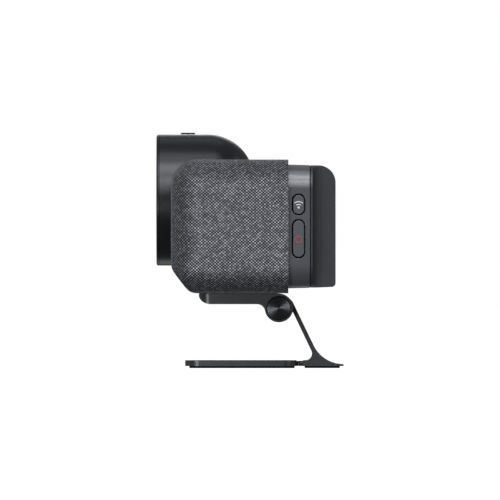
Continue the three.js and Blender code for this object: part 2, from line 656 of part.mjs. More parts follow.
// The leg hangs from the hinge knuckle, and spreads into the heel through a small and a large fillet
function legShape() {
  const normal = new THREE.Vector2(Math.sin(LEG_SLOPE), Math.cos(LEG_SLOPE));
  const down = new THREE.Vector2(Math.cos(LEG_SLOPE), -Math.sin(LEG_SLOPE));
  const axis = new THREE.Vector2(HINGE_Y, HINGE_Z);
  const outerStart = axis.clone().addScaledVector(normal, LEG_OUTER);
  const normalAngle = Math.PI / 2 - LEG_SLOPE;
  const flareRadius = 15.2;
  const flareZ = 16.84;
  const filletRadius = 3;
  const filletZ = PLATE_TOP + filletRadius;
  const filletDrop = (filletZ - HINGE_Z) * normal.y;
  const filletY = HINGE_Y + (LEG_INNER - filletRadius - filletDrop) / normal.x;
  const innerAlong = Math.sqrt(KNUCKLE_RADIUS ** 2 - LEG_INNER ** 2);
  const innerMeet = new THREE.Vector2()
    .addScaledVector(normal, LEG_INNER)
    .addScaledVector(down, innerAlong);
  const shape = new THREE.Shape();
  shape.moveTo(outerStart.x, outerStart.y);
  shape.lineTo(HEEL_REAR - flareRadius * normal.x, flareZ - flareRadius * normal.y);
  shape.absarc(HEEL_REAR, flareZ, flareRadius, Math.PI + normalAngle, Math.PI * 1.5);
  shape.lineTo(HEEL_REAR, PLATE_BOTTOM + 0.15);
  shape.lineTo(HEEL_REAR - 0.6, PLATE_BOTTOM);
  shape.lineTo(FOLD_Y + FOLD_CLEARANCE, PLATE_BOTTOM);
  shape.lineTo(FOLD_Y + FOLD_CLEARANCE, PLATE_TOP);
  shape.absarc(filletY, filletZ, filletRadius, -Math.PI / 2, normalAngle);
  shape.absarc(HINGE_Y, HINGE_Z, KNUCKLE_RADIUS, innerMeet.angle(), Math.PI / 4, true);
  shape.lineTo(outerStart.x, outerStart.y);
  return shape;
}

function foldKnuckle(x0, x1, towardY) {
  const barrel = rodAlongX(FOLD_RADIUS, x0, x1, FOLD_Y, FOLD_Z, 16);
  const [y0, y1] = [Math.min(FOLD_Y, towardY), Math.max(FOLD_Y, towardY)];
  return join(barrel, box(x0, x1, y0, y1, PLATE_BOTTOM, FOLD_Z + FOLD_RADIUS));
}

const foldBore = rodAlongX(FOLD_PIN_RADIUS + 0.2, -FAR, FAR, FOLD_Y, FOLD_Z, 12);

function addLeg() {
  const blank = alongX(legShape(), -LEG_HALF_WIDTH, LEG_HALF_WIDTH, 6);
  const heelPlan = rounded(-LEG_HALF_WIDTH, -FAR, LEG_HALF_WIDTH, HEEL_REAR, FOOT_CORNER);
  const knuckles = [[-FOLD_HALF_WIDTH, -FOLD_MIDDLE - GAP], [FOLD_MIDDLE + GAP, FOLD_HALF_WIDTH]]
    .map(([x0, x1]) => foldKnuckle(x0, x1, FOLD_Y + FOLD_CLEARANCE + 1));
  const pinBore = rodAlongX(PIN_RADIUS + GAP, -FAR, FAR, HINGE_Y, HINGE_Z);
  const pocket = alongZ(padPlan(heelPad, GAP), 0, PLATE_BOTTOM + PAD_POCKET, 3);
  const leg = join(blank.intersect(alongZ(heelPlan, -1, FAR, 4)), ...knuckles);
  place('stand_leg', cut(leg, pinBore, foldBore, pocket), standMetal);
}

const heelPad = { halfWidth: LEG_HALF_WIDTH - 1.8, front: 25.2, rear: 41.3, corner: 4 };
const footPad = {
  halfWidth: FOOT_HALF_WIDTH - 2,
  front: FOOT_FRONT + 2,
  rear: FOLD_Y - FOLD_CLEARANCE - 0.95,
  corner: 4.5,
};

function padPlan({ halfWidth, front, rear, corner }, margin) {
  return rounded(-halfWidth - margin, front - margin, halfWidth + margin, rear + margin, corner);
}

function addFoot() {
  const rear = FOLD_Y - FOLD_CLEARANCE;
  const plan = rounded(-FOOT_HALF_WIDTH, FOOT_FRONT, FOOT_HALF_WIDTH, rear, FOOT_CORNER);
  const plate = alongZ(plan, PLATE_BOTTOM, PLATE_TOP, 4);
  const knuckle = foldKnuckle(-FOLD_MIDDLE, FOLD_MIDDLE, rear - 1);
  const pocket = alongZ(padPlan(footPad, GAP), 0, PLATE_BOTTOM + PAD_POCKET, 3);
  place('front_foot', cut(join(plate, knuckle), foldBore, pocket), standMetal);
  const pinEnd = FOLD_HALF_WIDTH - GAP;
  place('fold_pin', rodAlongX(FOLD_PIN_RADIUS, -pinEnd, pinEnd, FOLD_Y, FOLD_Z, 12), steel);
}

function addPads() {
  const top = PLATE_BOTTOM + PAD_POCKET - GAP;
  place('front_pad', alongZ(padPlan(footPad, 0), 0, top, 3), rubber);
  place('heel_pad', alongZ(padPlan(heelPad, 0), 0, top, 3), rubber);
}

addSleeve();
addFrame();
addRearHousing();
addRearCover();
addCoverScrews();
addBoards();
addPorts();
addLoudspeaker('left', -DRIVER_X);
addLoudspeaker('right', DRIVER_X);
addDrumShell();
addBezelAndWindow();
addLens();
addShutter();
addButtons();
addArm();
addArmScrew();
addHinge();
addLeg();
addFoot();
addPads();

export default model;
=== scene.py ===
"""Visual model of a desk conference speaker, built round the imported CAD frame.

Outlines are in millimetres. Z is up, the front faces -Y, and the end with the buttons faces +X.
"""

import json
import math
from collections import namedtuple

import bmesh
import bpy
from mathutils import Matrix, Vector


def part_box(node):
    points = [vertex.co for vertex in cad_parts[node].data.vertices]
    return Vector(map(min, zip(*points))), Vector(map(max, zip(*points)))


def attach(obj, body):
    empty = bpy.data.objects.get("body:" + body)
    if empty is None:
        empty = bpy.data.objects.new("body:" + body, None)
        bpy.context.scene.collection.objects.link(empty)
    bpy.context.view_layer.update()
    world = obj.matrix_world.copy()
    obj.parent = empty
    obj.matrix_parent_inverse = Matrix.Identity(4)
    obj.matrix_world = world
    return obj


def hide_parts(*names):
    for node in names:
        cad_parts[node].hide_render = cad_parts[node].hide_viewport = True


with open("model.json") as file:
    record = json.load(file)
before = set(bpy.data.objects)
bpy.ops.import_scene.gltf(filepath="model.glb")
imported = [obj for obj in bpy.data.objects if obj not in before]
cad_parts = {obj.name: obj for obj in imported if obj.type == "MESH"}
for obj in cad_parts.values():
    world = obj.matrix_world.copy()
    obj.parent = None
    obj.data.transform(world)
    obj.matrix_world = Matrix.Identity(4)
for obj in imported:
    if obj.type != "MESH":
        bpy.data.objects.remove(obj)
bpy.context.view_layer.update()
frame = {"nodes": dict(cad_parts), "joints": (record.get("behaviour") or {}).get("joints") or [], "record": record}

MM = 0.001


class Span:
    """A CAD node's box at rest, in millimetres."""

    def __init__(self, node):
        low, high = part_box(node)
        self.x0, self.y0, self.z0 = (value / MM for value in low)
        self.x1, self.y1, self.z1 = (value / MM for value in high)
        self.x, self.y, self.z = ((a + b) / 2 / MM for a, b in zip(low, high))


def frame_joint(name):
    return next(joint for joint in frame["joints"] if joint["name"] == name)


SLEEVE = Span("fabric_sleeve")
HOUSING = Span("rear_housing")
COVER = Span("rear_cover")
DRUM = Span("camera_drum")
BEZEL = Span("camera_bezel")
WINDOW = Span("camera_window")
SHUTTER = Span("shutter_slider")
ARM = Span("mount_arm")
CAP = Span("right_hinge_cap")
LEG = Span("stand_leg")
FOOT = Span("front_foot")
FOOT_PAD = Span("front_pad")
HEEL_PAD = Span("heel_pad")
FOLD_PIN = Span("fold_pin")

# ---- Driving dimensions, in millimetres ---------------------------------------------------------

# Fabric sleeve. A flat runs across its lower front edge between two points, given as (Y, Z).
CORNER = 12.0
SLEEVE_WALL = 1.5
CHAMFER_TOP = Vector((-35.3, 44.5))
CHAMFER_END = Vector((-29.4, 36.8))
CHAMFER_BLEND = 0.7
CLOTH_GRID = 2.0

# Camera drum: a tube along Y whose rear edge is a wide round.
DRUM_Z = (DRUM.z0 + BEZEL.z1) / 2
DRUM_RADIUS = DRUM.x1
DRUM_WALL = 2.0
DOME_RADIUS = 21.2
DOME_START = DRUM.y1 - DOME_RADIUS
CLOTH_TO_DRUM = 0.12

# Lens shutter. Its knob slides on the drum, and a stem joins it to a carrier below the slot.
SHUTTER_TRAVEL = abs(frame_joint("shutter_slide")["range_m"][1]) / MM
KNOB_HALF = 4.0
KNOB_X = SHUTTER.x1 - KNOB_HALF
KNOB_LIFT = 0.18
STEM_Y = -28.6
STEM_HALF_WIDTH = 1.2
STEM_HALF_DEPTH = 0.25
CARRIER_FRONT = -30.8
CARRIER_REAR = -26.5

# Rear housing, its buttons and the raised rear cover.
HOUSING_INSET = 2.2
HOUSING_REAR_INSET = 2.5
HOUSING_WALL = 2.2
BUTTON_NAMES = ("wireless_button", "power_button")
BUTTON_WIDTH = 5.0
BUTTON_GROOVE = 0.65
BUTTON_RECESS = 0.05
COVER_HALF = 99.0
COVER_FLANGE = 0.9
COVER_COVE = 4.5
SOCKET_NAMES = ("usb_port", "power_port")
SCREW_NAMES = [f"cover_screw_{number}" for number in range(1, 5)]

# Arm, hinges and stand.
HINGE_Y, HINGE_Z = (value / MM for value in frame_joint("tilt_hinge")["pos_m"][1:])
FOLD_Y, FOLD_Z = (value / MM for value in frame_joint("fold_hinge")["pos_m"][1:])
BARREL = HINGE_Z - ARM.z0
KNUCKLE = LEG.z1 - HINGE_Z
ARM_BOTTOM = 29.4
EAR_INNER = 30.5
PIN_HOLE = 3.3
FOLD_PIN_HOLE = 0.62
FOLD_MIDDLE = 12.0
FOLD_HALF = 24.0
LEG_SLOPE = 64.5
STAND_CORNER = 6.0
PAD_ROOM = 0.15
PAD_SEAT = 0.4

# ---- Mesh helpers -------------------------------------------------------------------------------

WELD = 1e-4
ON_AXIS = 1e-6


def arc(centre_u, centre_v, radius, start, end, steps=12, radius_v=None):
    """Points on an arc from start to end, in degrees; radius_v makes it an ellipse."""
    points = []
    for step in range(steps + 1):
        angle = math.radians(start + (end - start) * step / steps)
        across = radius * math.cos(angle)
        up = (radius_v or radius) * math.sin(angle)
        points.append((centre_u + across, centre_v + up))
    return points


def circle(centre_u, centre_v, radius, sides):
    """A full circle as a polygon, without the closing point."""
    return arc(centre_u, centre_v, radius, 0, 360 - 360 / sides, sides - 1)


def rounded(u0, v0, u1, v1, radius, steps=10):
    """A rectangle with round corners, anticlockwise."""
    return (
        arc(u1 - radius, v0 + radius, radius, -90, 0, steps)
        + arc(u1 - radius, v1 - radius, radius, 0, 90, steps)
        + arc(u0 + radius, v1 - radius, radius, 90, 180, steps)
        + arc(u0 + radius, v0 + radius, radius, 180, 270, steps)
    )


def new_object(name, bm):
    """Turns a bmesh in millimetres into an object in metres."""
    bmesh.ops.remove_doubles(bm, verts=bm.verts, dist=WELD)
    bmesh.ops.recalc_face_normals(bm, faces=bm.faces)
    bmesh.ops.scale(bm, vec=(MM, MM, MM), verts=bm.verts)
    mesh = bpy.data.meshes.new(name)
    bm.to_mesh(mesh)
    bm.free()
    obj = bpy.data.objects.new(name, mesh)
    bpy.context.scene.collection.objects.link(obj)
    return obj


PLACE = {
    "X": lambda u, v, along: (along, u, v),
    "Y": lambda u, v, along: (u, along, v),
    "Z": lambda u, v, along: (u, v, along),
}


def closed_loft(name, rings):
    """A solid through rings of vertex positions, all of one length, with flat ends."""
    bm = bmesh.new()
    rows = [[bm.verts.new(point) for point in ring] for ring in rings]
    count = len(rows[0])
    for here, there in zip(rows, rows[1:]):
        for index in range(count):
            following = (index + 1) % count
            bm.faces.new((here[index], here[following], there[following], there[index]))
    bm.faces.new(rows[0])
    bm.faces.new(rows[-1])
    return new_object(name, bm)


def prism(name, outline, axis, start, end):
    """A flat outline drawn out along one axis: X takes (Y, Z), Y takes (X, Z) and Z takes (X, Y)."""
    place = PLACE[axis]
    return closed_loft(name, [[place(u, v, along) for u, v in outline] for along in (start, end)])


def rod(name, radius, x0, x1, y, z, sides=64):
    return prism(name, circle(y, z, radius, sides), "X", x0, x1)


def post(name, radius, z0, z1, x, y, sides=64):
    return prism(name, circle(x, y, radius, sides), "Z", z0, z1)


def turned(name, profile, axis, centre, segments=96):
    """A closed profile of (radius, along) pairs turned about a line along X or Y through centre."""
    bm = bmesh.new()
    rings = []
    for radius, along in profile:
        ring = []
        for segment in range(segments if radius > ON_AXIS else 1):
            angle = 2 * math.pi * segment / segments
            u = centre[0] + radius * math.cos(angle)
            v = centre[1] + radius * math.sin(angle)
            ring.append(bm.verts.new(PLACE[axis](u, v, along)))
        rings.append(ring)
    pairs = list(zip(rings, rings[1:]))
    if profile[0][0] > ON_AXIS and profile[-1][0] > ON_AXIS:
        pairs.append((rings[-1], rings[0]))
    for here, there in pairs:
        for segment in range(segments):
            following = (segment + 1) % segments
            corners = [
                here[segment % len(here)],
                here[following % len(here)],
                there[following % len(there)],
                there[segment % len(there)],
            ]
            distinct = list(dict.fromkeys(corners))
            if len(distinct) > 2:
                bm.faces.new(distinct)
    return new_object(name, bm)


def apply_modifiers(obj):
    """Replaces the object's mesh with what its modifiers make of it."""
    graph = bpy.context.evaluated_depsgraph_get()
    graph.update()
    mesh = bpy.data.meshes.new_from_object(obj.evaluated_get(graph))
    obj.modifiers.clear()
    old = obj.data
    obj.data = mesh
    mesh.name = obj.name
    bpy.data.meshes.remove(old)
    return obj


def boolean(obj, others, operation):
    """Combines the other objects with this one, in order, and removes them."""
    for other in others:
        modifier = obj.modifiers.new("cut", "BOOLEAN")
        modifier.operation = operation
        modifier.solver = "EXACT"
        modifier.object = other
    apply_modifiers(obj)
    for other in others:
        bpy.data.objects.remove(other)
    return obj


def cut(obj, *others):
    return boolean(obj, others, "DIFFERENCE")


def common(obj, *others):
    return boolean(obj, others, "INTERSECT")


def join(obj, *others):
    return boolean(obj, others, "UNION")


def soften(obj, width, segments=3, angle=32):
    """Rounds every edge sharper than the angle, by a width in millimetres."""
    bevel = obj.modifiers.new("edge", "BEVEL")
    bevel.width = width * MM
    bevel.segments = segments
    bevel.limit_method = "ANGLE"
    bevel.angle_limit = math.radians(angle)
    bevel.use_clamp_overlap = True
    bevel.miter_outer = "MITER_ARC"
    return apply_modifiers(obj)


# ---- Materials ----------------------------------------------------------------------------------


class Nodes:
    """A new node material, with short ways to add nodes to it."""

    def __init__(self, name):
        self.material = bpy.data.materials.new(name)
        self.material.use_nodes = True
        self.tree = self.material.node_tree
        self.shader = self.tree.nodes["Principled BSDF"]

    def feed(self, socket, value):
        """Links another node's output to the socket, or sets the socket to a plain value."""
        if isinstance(value, bpy.types.NodeSocket):
            self.tree.links.new(value, socket)
        else:
            socket.default_value = value

    def add(self, kind, inputs=None, **settings):
        node = self.tree.nodes.new(kind)
        for key, value in settings.items():
            setattr(node, key, value)
        for key, value in (inputs or {}).items():
            self.feed(node.inputs[key], value)
        return node

    def set(self, **sockets):
        for key, value in sockets.items():
            self.feed(self.shader.inputs[key.replace("_", " ")], value)

    def math(self, operation, first, second=0.0):
        return self.add("ShaderNodeMath", {0: first, 1: second}, operation=operation).outputs[0]

    def object_point(self):
        return self.add("ShaderNodeTexCoord").outputs["Object"]

    def noise(self, scale, detail=2.0, vector=None):
        inputs = {"Scale": scale, "Detail": detail, "Vector": vector or self.object_point()}
        return self.add("ShaderNodeTexNoise", inputs).outputs["Fac"]

    def spread(self, value, low, high, start=0.0, end=1.0):
        """Maps start to low and end to high."""
        inputs = {"Value": value, "From Min": start, "From Max": end, "To Min": low, "To Max": high}
        return self.add("ShaderNodeMapRange", inputs).outputs["Result"]

    def blend(self, factor, first, second):
        """Mixes two colours; inputs 0, 6 and 7 are the factor and the two colours."""
        return self.add("ShaderNodeMix", {0: factor, 6: first, 7: second}, data_type="RGBA").outputs[2]

    def bump(self, height, strength, distance):
        inputs = {"Height": height, "Strength": strength, "Distance": distance}
        return self.add("ShaderNodeBump", inputs).outputs["Normal"]


def tone(colour, factor):
    """The colour made lighter or darker, with an alpha of 1."""
    return (*(channel * factor for channel in colour), 1.0)


def satin(name, colour, roughness, grain=0.16, relief=0.05, specular=0.5):
    """Moulded plastic or powder coat: a fine grain, and faint wide changes of colour and gloss.

    Grain and relief are the width and the height of the grain, in millimetres.
    """
    nodes = Nodes(name)
    fine = nodes.noise(1 / (grain * MM), 2.0)
    wide = nodes.noise(45.0, 3.0)
    nodes.set(
        Base_Color=nodes.blend(wide, tone(colour, 0.93), tone(colour, 1.07)),
        Roughness=nodes.spread(wide, roughness - 0.03, roughness + 0.03),
        Specular_IOR_Level=specular,
        Normal=nodes.bump(fine, 0.25, relief * MM),
    )
    return nodes.material


def yarn_cells(nodes, place, pitch_u, pitch_v):
    """A chequerboard of yarns: a wave with a crest in every other cell, and each cell's own number."""
    parts = nodes.add("ShaderNodeSeparateXYZ", {0: place})
    across = nodes.math("MULTIPLY", parts.outputs[0], math.pi / (pitch_u * MM))
    along = nodes.math("MULTIPLY", parts.outputs[1], math.pi / (pitch_v * MM))
    wave = nodes.math("MULTIPLY", nodes.math("SINE", across), nodes.math("SINE", along))
    cell_u = nodes.math("FLOOR", nodes.math("DIVIDE", across, math.pi))
    cell_v = nodes.math("FLOOR", nodes.math("DIVIDE", along, math.pi))
    cell = nodes.add("ShaderNodeCombineXYZ", {0: cell_u, 1: cell_v}).outputs[0]
    return wave, cell


def slanted_drift(nodes, place):
    """Short streaks that run across the weave at a slant."""
    slant = {"Vector": place, "Rotation": (0, 0, math.radians(37)), "Scale": (2.2, 0.4, 1.0)}
    slanted = nodes.add("ShaderNodeMapping", slant, vector_type="TEXTURE").outputs[0]
    return nodes.noise(340.0, 1.0, slanted)


def woven(name, light, dark, pitch_u, pitch_v):
    """Plain weave: light yarns over a dark ground, with painted shade that darkens the cloth by up to half where
    it bends over an edge.
    """
    nodes = Nodes(name)
    place = nodes.add("ShaderNodeUVMap", uv_map="weave").outputs["UV"]
    wave, cell = yarn_cells(nodes, place, pitch_u, pitch_v)
    on_top = nodes.spread(wave, 0.0, 1.0, -0.1, 0.45)
    speckle = nodes.add("ShaderNodeTexWhiteNoise", {"Vector": cell}, noise_dimensions="3D").outputs["Value"]
    fleck = nodes.math("POWER", speckle, 1.6)
    light_yarn = nodes.blend(fleck, tone(light, 0.6), tone(light, 1.6))
    ground = nodes.blend(speckle, tone(dark, 0.5), tone(dark, 1.5))
    mixed = nodes.blend(on_top, ground, light_yarn)

    # Painted shade: the cloth's colour is darkened where it bends over the round edges, down to half on the
    # roundings.
    painted_shade_bend = nodes.add("ShaderNodeAttribute", attribute_name="painted_shade_bend").outputs["Fac"]
    bend_painted_shade = nodes.spread(painted_shade_bend, 1.0, 0.5)
    streak_shade = nodes.spread(slanted_drift(nodes, place), 0.86, 1.14, 0.3, 0.7)
    # The painted shade at the bends, times the streaks' own changes of tone.
    shade = nodes.math("MULTIPLY", bend_painted_shade, streak_shade)
    tinted = nodes.add("ShaderNodeVectorMath", {0: mixed, "Scale": shade}, operation="SCALE").outputs[0]

    fibre = nodes.noise(9000.0, 2.0, place)
    height = nodes.math("ADD", nodes.math("ABSOLUTE", wave), nodes.math("MULTIPLY", fibre, 0.35))
    nodes.set(
        Base_Color=tinted,
        Roughness=nodes.spread(fibre, 0.82, 0.98),
        Specular_IOR_Level=0.12,
        Sheen_Weight=0.14,
        Sheen_Roughness=0.4,
        Normal=nodes.bump(height, 0.5, 0.12 * MM),
    )
    return nodes.material


def rubber(name, colour):
    """Matt rubber or paper with a little dust."""
    nodes = Nodes(name)
    grain = nodes.noise(5200.0, 3.0)
    dust = nodes.noise(90.0, 4.0)
    nodes.set(
        Base_Color=nodes.blend(dust, tone(colour, 0.8), tone(colour, 1.5)),
        Roughness=nodes.spread(dust, 0.72, 0.9),
        Specular_IOR_Level=0.35,
        Normal=nodes.bump(grain, 0.3, 0.06 * MM),
    )
    return nodes.material


def brushed(name, colour, roughness):
    """Bare metal with fine scratches along X."""
    nodes = Nodes(name)
    squeeze = {"Vector": nodes.object_point(), "Scale": (1.0, 14.0, 14.0)}
    lines = nodes.noise(700.0, 3.0, nodes.add("ShaderNodeMapping", squeeze).outputs[0])
    nodes.set(
        Base_Color=nodes.blend(lines, tone(colour, 0.85), tone(colour, 1.1)),
        Metallic=1.0,
        Roughness=nodes.spread(lines, roughness - 0.06, roughness + 0.08),
        Normal=nodes.bump(lines, 0.15, 0.02 * MM),
    )
    return nodes.material


def spun_metal(name, colour):
    """Metal turned in circles about X, which draws its highlights out into wedges."""
    nodes = Nodes(name)
    wide = nodes.noise(600.0, 2.0)
    nodes.set(
        Base_Color=nodes.blend(wide, tone(colour, 0.9), tone(colour, 1.1)),
        Metallic=1.0,
        Roughness=nodes.spread(wide, 0.3, 0.34),
        Anisotropic=0.92,
        Anisotropic_Rotation=0.25,
        Tangent=nodes.add("ShaderNodeTangent", direction_type="RADIAL", axis="X").outputs[0],
    )
    return nodes.material


def glass(name, colour, coating=None):
    """Tinted glass with a faint smear, and a coloured coating on a lens."""
    nodes = Nodes(name)
    smear = nodes.noise(60.0, 3.0)
    nodes.set(
        Base_Color=nodes.blend(smear, tone(colour, 0.92), tone(colour, 1.0)),
        Roughness=nodes.spread(smear, 0.02, 0.05),
        Transmission_Weight=1.0,
        IOR=1.5,
    )
    if coating:
        nodes.set(Coat_Weight=1.0, Coat_Tint=tone(coating, 1.0), Specular_Tint=tone(coating, 1.0))
    return nodes.material


def printed_ink(name, colour):
    nodes = Nodes(name)
    patchy = nodes.noise(2500.0, 2.0)
    nodes.set(Base_Color=nodes.blend(patchy, tone(colour, 0.9), tone(colour, 1.05)), Roughness=0.5)
    return nodes.material


def circuit(name):
    """Green solder mask with copper traces showing through as slightly lighter lines."""
    nodes = Nodes(name)
    bricks = {"Vector": nodes.object_point(), "Scale": 260.0, "Mortar Size": 0.03}
    traces = nodes.add("ShaderNodeTexBrick", bricks).outputs["Fac"]
    nodes.set(
        Base_Color=nodes.blend(traces, (0.006, 0.05, 0.022, 1), (0.03, 0.12, 0.05, 1)),
        Roughness=nodes.spread(nodes.noise(300.0), 0.35, 0.5),
        Normal=nodes.bump(traces, 0.3, 0.03 * MM),
    )
    return nodes.material


HOUSING_GREY = (0.078, 0.082, 0.089)
BUTTON_GREY = tuple(channel * 1.1 for channel in HOUSING_GREY)
# The cover is the housing's plastic in a darker grey: painted shade.
COVER_SHADED_GREY = (0.033, 0.035, 0.039)
DRUM_GREY = (0.0095, 0.0102, 0.0118)
STAND_GREY = (0.033, 0.035, 0.039)
BLACK = (0.0065, 0.0068, 0.0072)

LOOKS = {
    "sleeve_fabric": woven("woven_sleeve", (0.36, 0.368, 0.389), (0.03, 0.031, 0.033), 0.76, 0.68),
    "inner_plastic": satin("inner_plastic", (0.02, 0.02, 0.021), 0.6),
    "housing_plastic": satin("housing_plastic", HOUSING_GREY, 0.28, specular=1.0),
    "button_plastic": satin("button_plastic", BUTTON_GREY, 0.34, specular=0.6),
    "black_plastic": satin("black_plastic", BLACK, 0.5),
    "drum_plastic": satin("drum_plastic", DRUM_GREY, 0.28),
    "window_glass": glass("window_glass", (0.35, 0.37, 0.4)),
    "lens_glass": glass("lens_glass", (0.5, 0.5, 0.6), (0.45, 0.35, 0.9)),
    "light_diffuser": satin("light_diffuser", (0.7, 0.73, 0.76), 0.35),
    "circuit_board": circuit("circuit_board"),
    "aluminium_parts": brushed("aluminium_parts", (0.6, 0.6, 0.61), 0.35),
    "bright_steel": brushed("bright_steel", (0.4, 0.4, 0.41), 0.3),
    "brass_parts": brushed("brass_parts", (0.6, 0.43, 0.2), 0.3),
    "cone_paper": rubber("cone_paper", (0.012, 0.012, 0.013)),
    "stand_coating": satin("stand_coating", STAND_GREY, 0.33, grain=0.2, relief=0.06, specular=1.0),
    "cap_metal": spun_metal("cap_metal", (0.12, 0.123, 0.128)),
    "pad_rubber": rubber("pad_rubber", (0.009, 0.009, 0.0095)),
}
# A darker, matter copy of the housing's plastic; its darker grey is painted shade.
COVER_SHADED_PLASTIC = satin("cover_shaded_plastic", COVER_SHADED_GREY, 0.4)
WHITE_INK = printed_ink("white_ink", (0.75, 0.77, 0.8))
RED_INK = printed_ink("red_ink", (0.42, 0.055, 0.065))

for entry in frame["record"]["subparts"]:
    node = frame["nodes"][entry["node"]]
    node.data.materials.clear()
    node.data.materials.append(LOOKS[entry["material_slot"]])


def add_piece(obj, body, slot, replaces=(), smooth=40, material=None):
    """Shades the piece, gives it its slot's look or another material, parents it to its body and hides the CAD
    parts it replaces.
    """
    mesh = obj.data
    mesh.shade_smooth()
    mesh.set_sharp_from_angle(angle=math.radians(smooth))
    weighted = obj.modifiers.new("normals", "WEIGHTED_NORMAL")
    weighted.keep_sharp = True
    mesh.materials.clear()
    mesh.materials.append(material or LOOKS[slot])
    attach(obj, body)
    if replaces:
        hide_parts(*replaces)


# ---- Fabric sleeve ------------------------------------------------------------------------------

# A line across the cloth: the core that the round edge turns about, the tangent of its angle there,
# and how far along the cloth it lies.
Station = namedtuple("Station", "core lean travel")


def stations(low, high, radius, round_high=True):
    """Stations along one side of a round-edged box, half way round the edge at each round end."""
    turns = 8
    eighth = math.pi / 4
    places = [(low, -eighth * (turns - step) / turns) for step in range(turns)]
    count = max(1, round((high - low) / CLOTH_GRID))
    places += [(low + (high - low) * step / count, 0.0) for step in range(count + 1)]
    if round_high:
        places += [(high, eighth * (step + 1) / turns) for step in range(turns)]
    return [Station(core, math.tan(angle), core + radius * angle) for core, angle in places]


def ease_lower_front(y, z, inset):
    """Presses the lower front edge back to its chamfer, with a soft blend at both ends."""
    along = (CHAMFER_END - CHAMFER_TOP).normalized()
    outward = Vector((along.y, -along.x))
    depth = outward.dot(Vector((y, z)) - CHAMFER_TOP) + inset
    if depth < -8 * CHAMFER_BLEND:
        return y, z
    power_limit = 50
    push = CHAMFER_BLEND * math.log(1 + math.exp(min(depth / CHAMFER_BLEND, power_limit)))
    return y - outward.x * push, z - outward.y * push


def bend(normal):
    """How far the cloth is bent over an edge: 0 on the flats, and 1 from 32 degrees on; it sets the painted shade
    on the weave.
    """
    turn = math.degrees(math.acos(max(abs(part) for part in normal)))
    ease = min(turn / 32, 1)
    return ease * ease * (3 - 2 * ease)


def sleeve_patches(radius):
    """The five covered sides, each as two rows of stations, its place in space and its place on the cloth.

    The weave runs on without a break from the front over the ends, and from the ends over the top and bottom.
    """
    x_row = stations(SLEEVE.x0 + CORNER, SLEEVE.x1 - CORNER, radius)
    y_row = stations(SLEEVE.y0 + CORNER, SLEEVE.y1, radius, round_high=False)
    z_row = stations(SLEEVE.z0 + CORNER, SLEEVE.z1 - CORNER, radius)
    front_y = SLEEVE.y0 + CORNER
    x_far = x_row[-1].travel
    y_near = y_row[0].travel
    z_low = z_row[0].travel
    z_high = z_row[-1].travel

    def front(a, b):
        return (a.core, front_y, b.core), (a.lean, -1, b.lean)

    def end(side):
        x = side * (SLEEVE.x1 - CORNER)
        return lambda a, b: ((x, a.core, b.core), (side, a.lean, b.lean))

    def level(side, z):
        return lambda a, b: ((a.core, b.core, z), (a.lean, b.lean, side))

    def front_cloth(u, v):
        return abs(u), v

    def end_cloth(u, v):
        return x_far + u - y_near, v

    def top_cloth(u, v):
        return x_far + v - y_near, z_high + x_far - abs(u)

    def bottom_cloth(u, v):
        return x_far + v - y_near, z_low - x_far + abs(u)

    return [
        (x_row, z_row, front, front_cloth),
        (y_row, z_row, end(1), end_cloth),
        (y_row, z_row, end(-1), end_cloth),
        (x_row, y_row, level(1, SLEEVE.z1 - CORNER), top_cloth),
        (x_row, y_row, level(-1, SLEEVE.z0 + CORNER), bottom_cloth),
    ]


def add_sleeve_skin(bm, inset):
    """Adds the sleeve's surface, drawn in by inset and open at the rear, with the weave's UVs in metres and each
    point's bend for the painted shade.
    """
    weave = bm.loops.layers.uv["weave"]
    painted_shade_bend = bm.verts.layers.float["painted_shade_bend"]
    radius = CORNER - inset
    for first, second, place, cloth in sleeve_patches(radius):
        grid = []
        for a in first:
            row = []
            for b in second:
                core, direction = place(a, b)
                normal = Vector(direction).normalized()
                point = Vector(core) + normal * radius
                point.y, point.z = ease_lower_front(point.y, point.z, inset)
                vert = bm.verts.new(point)
                # Painted shade: the bend is kept for the weave, which darkens the cloth over the round edges.
                vert[painted_shade_bend] = bend(normal)
                row.append(vert)
            grid.append(row)
        for i in range(len(first) - 1):
            for j in range(len(second) - 1):
                corners = ((i, j), (i + 1, j), (i + 1, j + 1), (i, j + 1))
                face = bm.faces.new([grid[p][q] for p, q in corners])
                for loop, (p, q) in zip(face.loops, corners):
                    u, v = cloth(first[p].travel, second[q].travel)
                    loop[weave].uv = (u * MM, v * MM)


def drum_profile(margin, front):
    """Outside of the drum from its front edge back over the dome to its axis, as (radius, Y)."""
    reach = DOME_RADIUS + margin
    profile = [(DRUM_RADIUS + margin, front)]
    profile += arc(DRUM_RADIUS - DOME_RADIUS, DOME_START, reach, 0, 90, 24)
    profile.append((0, DOME_START + reach))
    return profile


def make_sleeve():
    bm = bmesh.new()
    bm.loops.layers.uv.new("weave")
    # Each point's bend, which sets the painted shade on the weave.
    bm.verts.layers.float.new("painted_shade_bend")
    add_sleeve_skin(bm, 0)
    add_sleeve_skin(bm, SLEEVE_WALL)
    bmesh.ops.remove_doubles(bm, verts=bm.verts, dist=WELD)
    rim = [edge for edge in bm.edges if len(edge.link_faces) == 1]
    bmesh.ops.bridge_loops(bm, edges=rim)
    sleeve = new_object("sleeve_cloth", bm)
    front = SLEEVE.y0 - 20
    room = [(0, front)] + drum_profile(CLOTH_TO_DRUM, front)
    cut(sleeve, turned("drum_room", room, "Y", (0, DRUM_Z)))
    add_piece(sleeve, "speaker", "sleeve_fabric", ["fabric_sleeve"], smooth=50)


# ---- Camera drum --------------------------------------------------------------------------------


